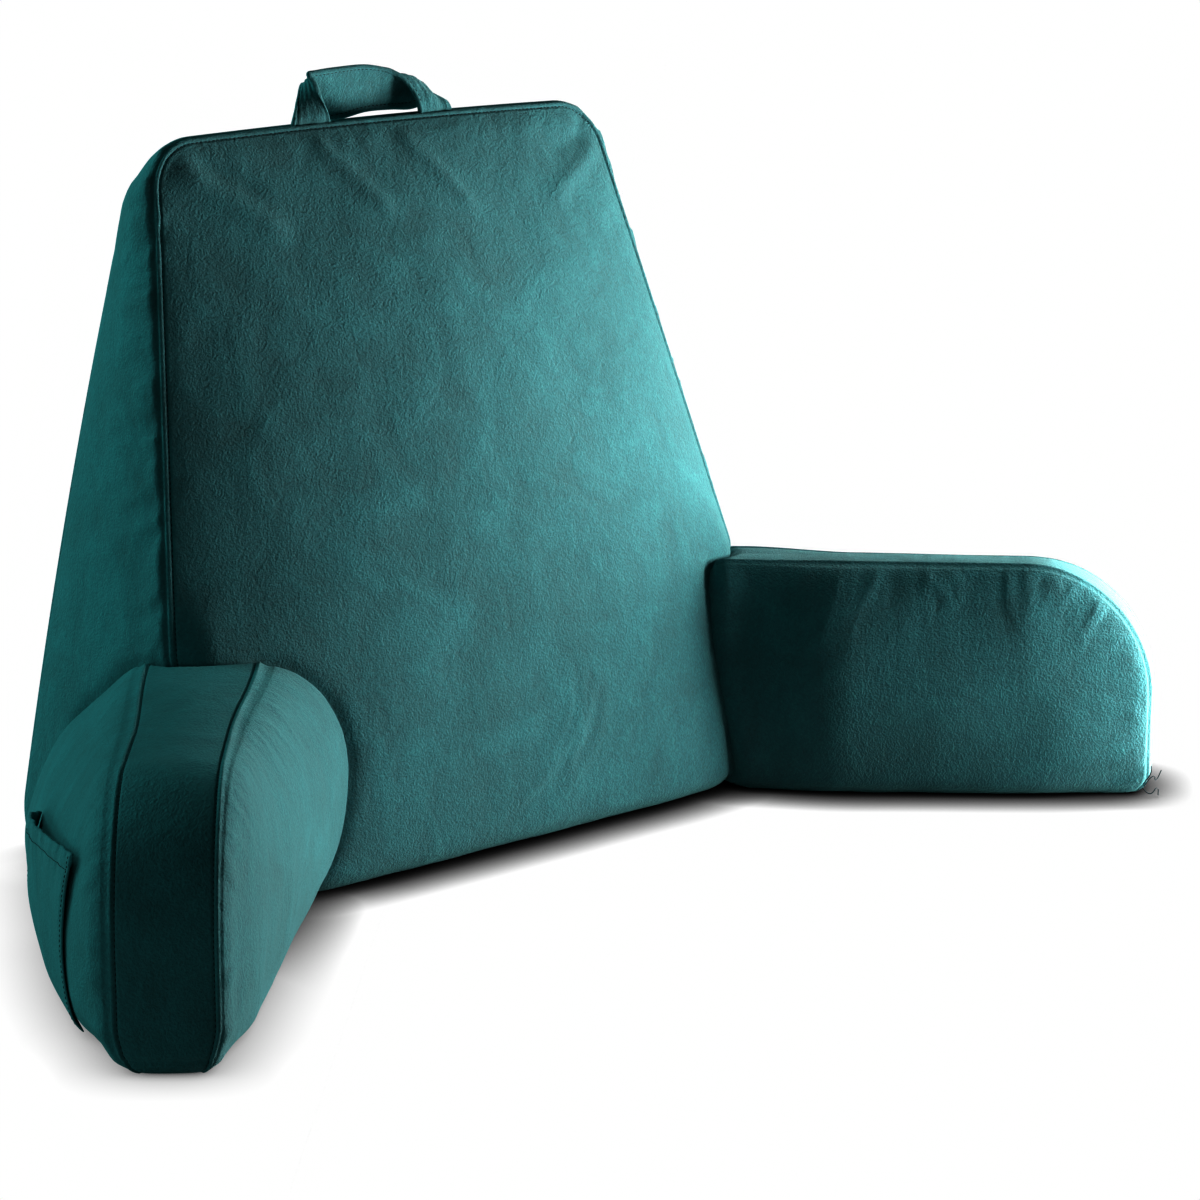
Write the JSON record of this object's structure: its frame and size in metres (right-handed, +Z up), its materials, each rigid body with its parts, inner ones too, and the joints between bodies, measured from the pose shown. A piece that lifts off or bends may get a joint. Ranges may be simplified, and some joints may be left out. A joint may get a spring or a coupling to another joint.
{
  "type": "reading pillow with arms",
  "caption": "Wedge-shaped back cushion with splayed arm cushions, a carry handle in its top seam and a patch pocket on an arm's outer side.",
  "frame": {"origin": "on the floor, under the middle of the back cushion's base", "axes": "+Z up, -Y the way the pillow's front faces, +X to the right of a viewer in front of it; the pocket is on the -X arm"},
  "size_m": [1.148, 0.5458, 0.652],
  "materials": {
    "velvet": "short-pile velvet, deep teal, with a pale sheen where the pile is seen edge on"
  },
  "bodies": {
    "root": {"back_cushion": "velvet", "arm_left": "velvet", "arm_right": "velvet", "handle": "velvet", "side_pocket": "velvet"}
  },
  "joints": []
}
